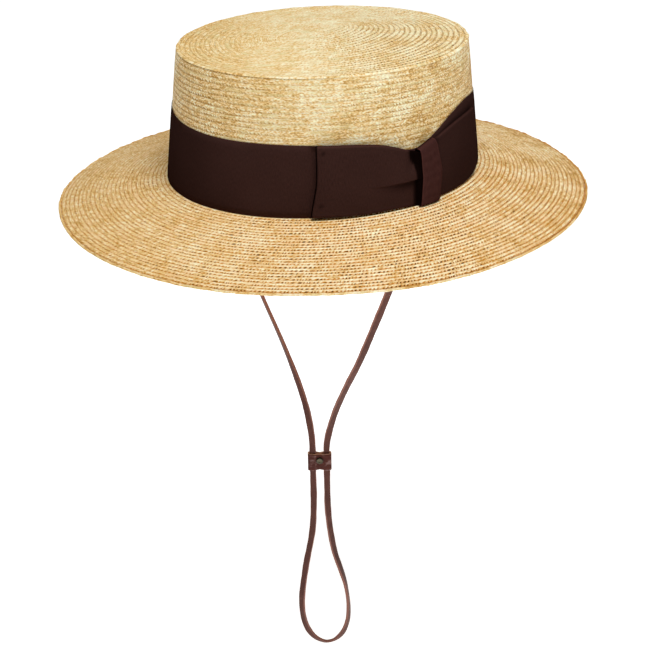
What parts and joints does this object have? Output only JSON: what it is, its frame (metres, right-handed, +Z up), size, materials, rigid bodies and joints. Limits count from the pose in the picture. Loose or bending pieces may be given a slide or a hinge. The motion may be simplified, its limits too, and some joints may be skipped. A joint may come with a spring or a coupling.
{
  "type": "straw boater hat",
  "caption": "Straw boater with a wide sloping brim, ribbon band, flat side bow and a looped leather chin strap with slider.",
  "frame": {"origin": "centre of the head opening, level with the headline where the crown meets the brim", "axes": "+Z up through the crown, -Y the hat's front, +X the wearer's left, where the bow is"},
  "size_m": [0.3138, 0.3296, 0.4526],
  "materials": {
    "straw": "sewn straw braid, wheat gold with cream and ochre flecks, slight gloss",
    "ribbon": "dark brown ribbed ribbon, satin",
    "knot_ribbon": "dark brown ribbed ribbon, slightly redder, satin",
    "lace_leather": "brown leather lace with cut edges, semi-matte",
    "slider_leather": "reddish dark brown leather, semi-gloss",
    "stud_brass": "antiqued, worn bright on the dome"
  },
  "bodies": {
    "root": {"crown": "straw", "brim": "straw", "hat_band": "ribbon", "bow_front_wing": "ribbon", "bow_rear_wing": "ribbon", "bow_knot": "knot_ribbon", "chin_strap": "lace_leather", "strap_slider": "slider_leather", "slider_stud": "stud_brass"}
  },
  "joints": []
}
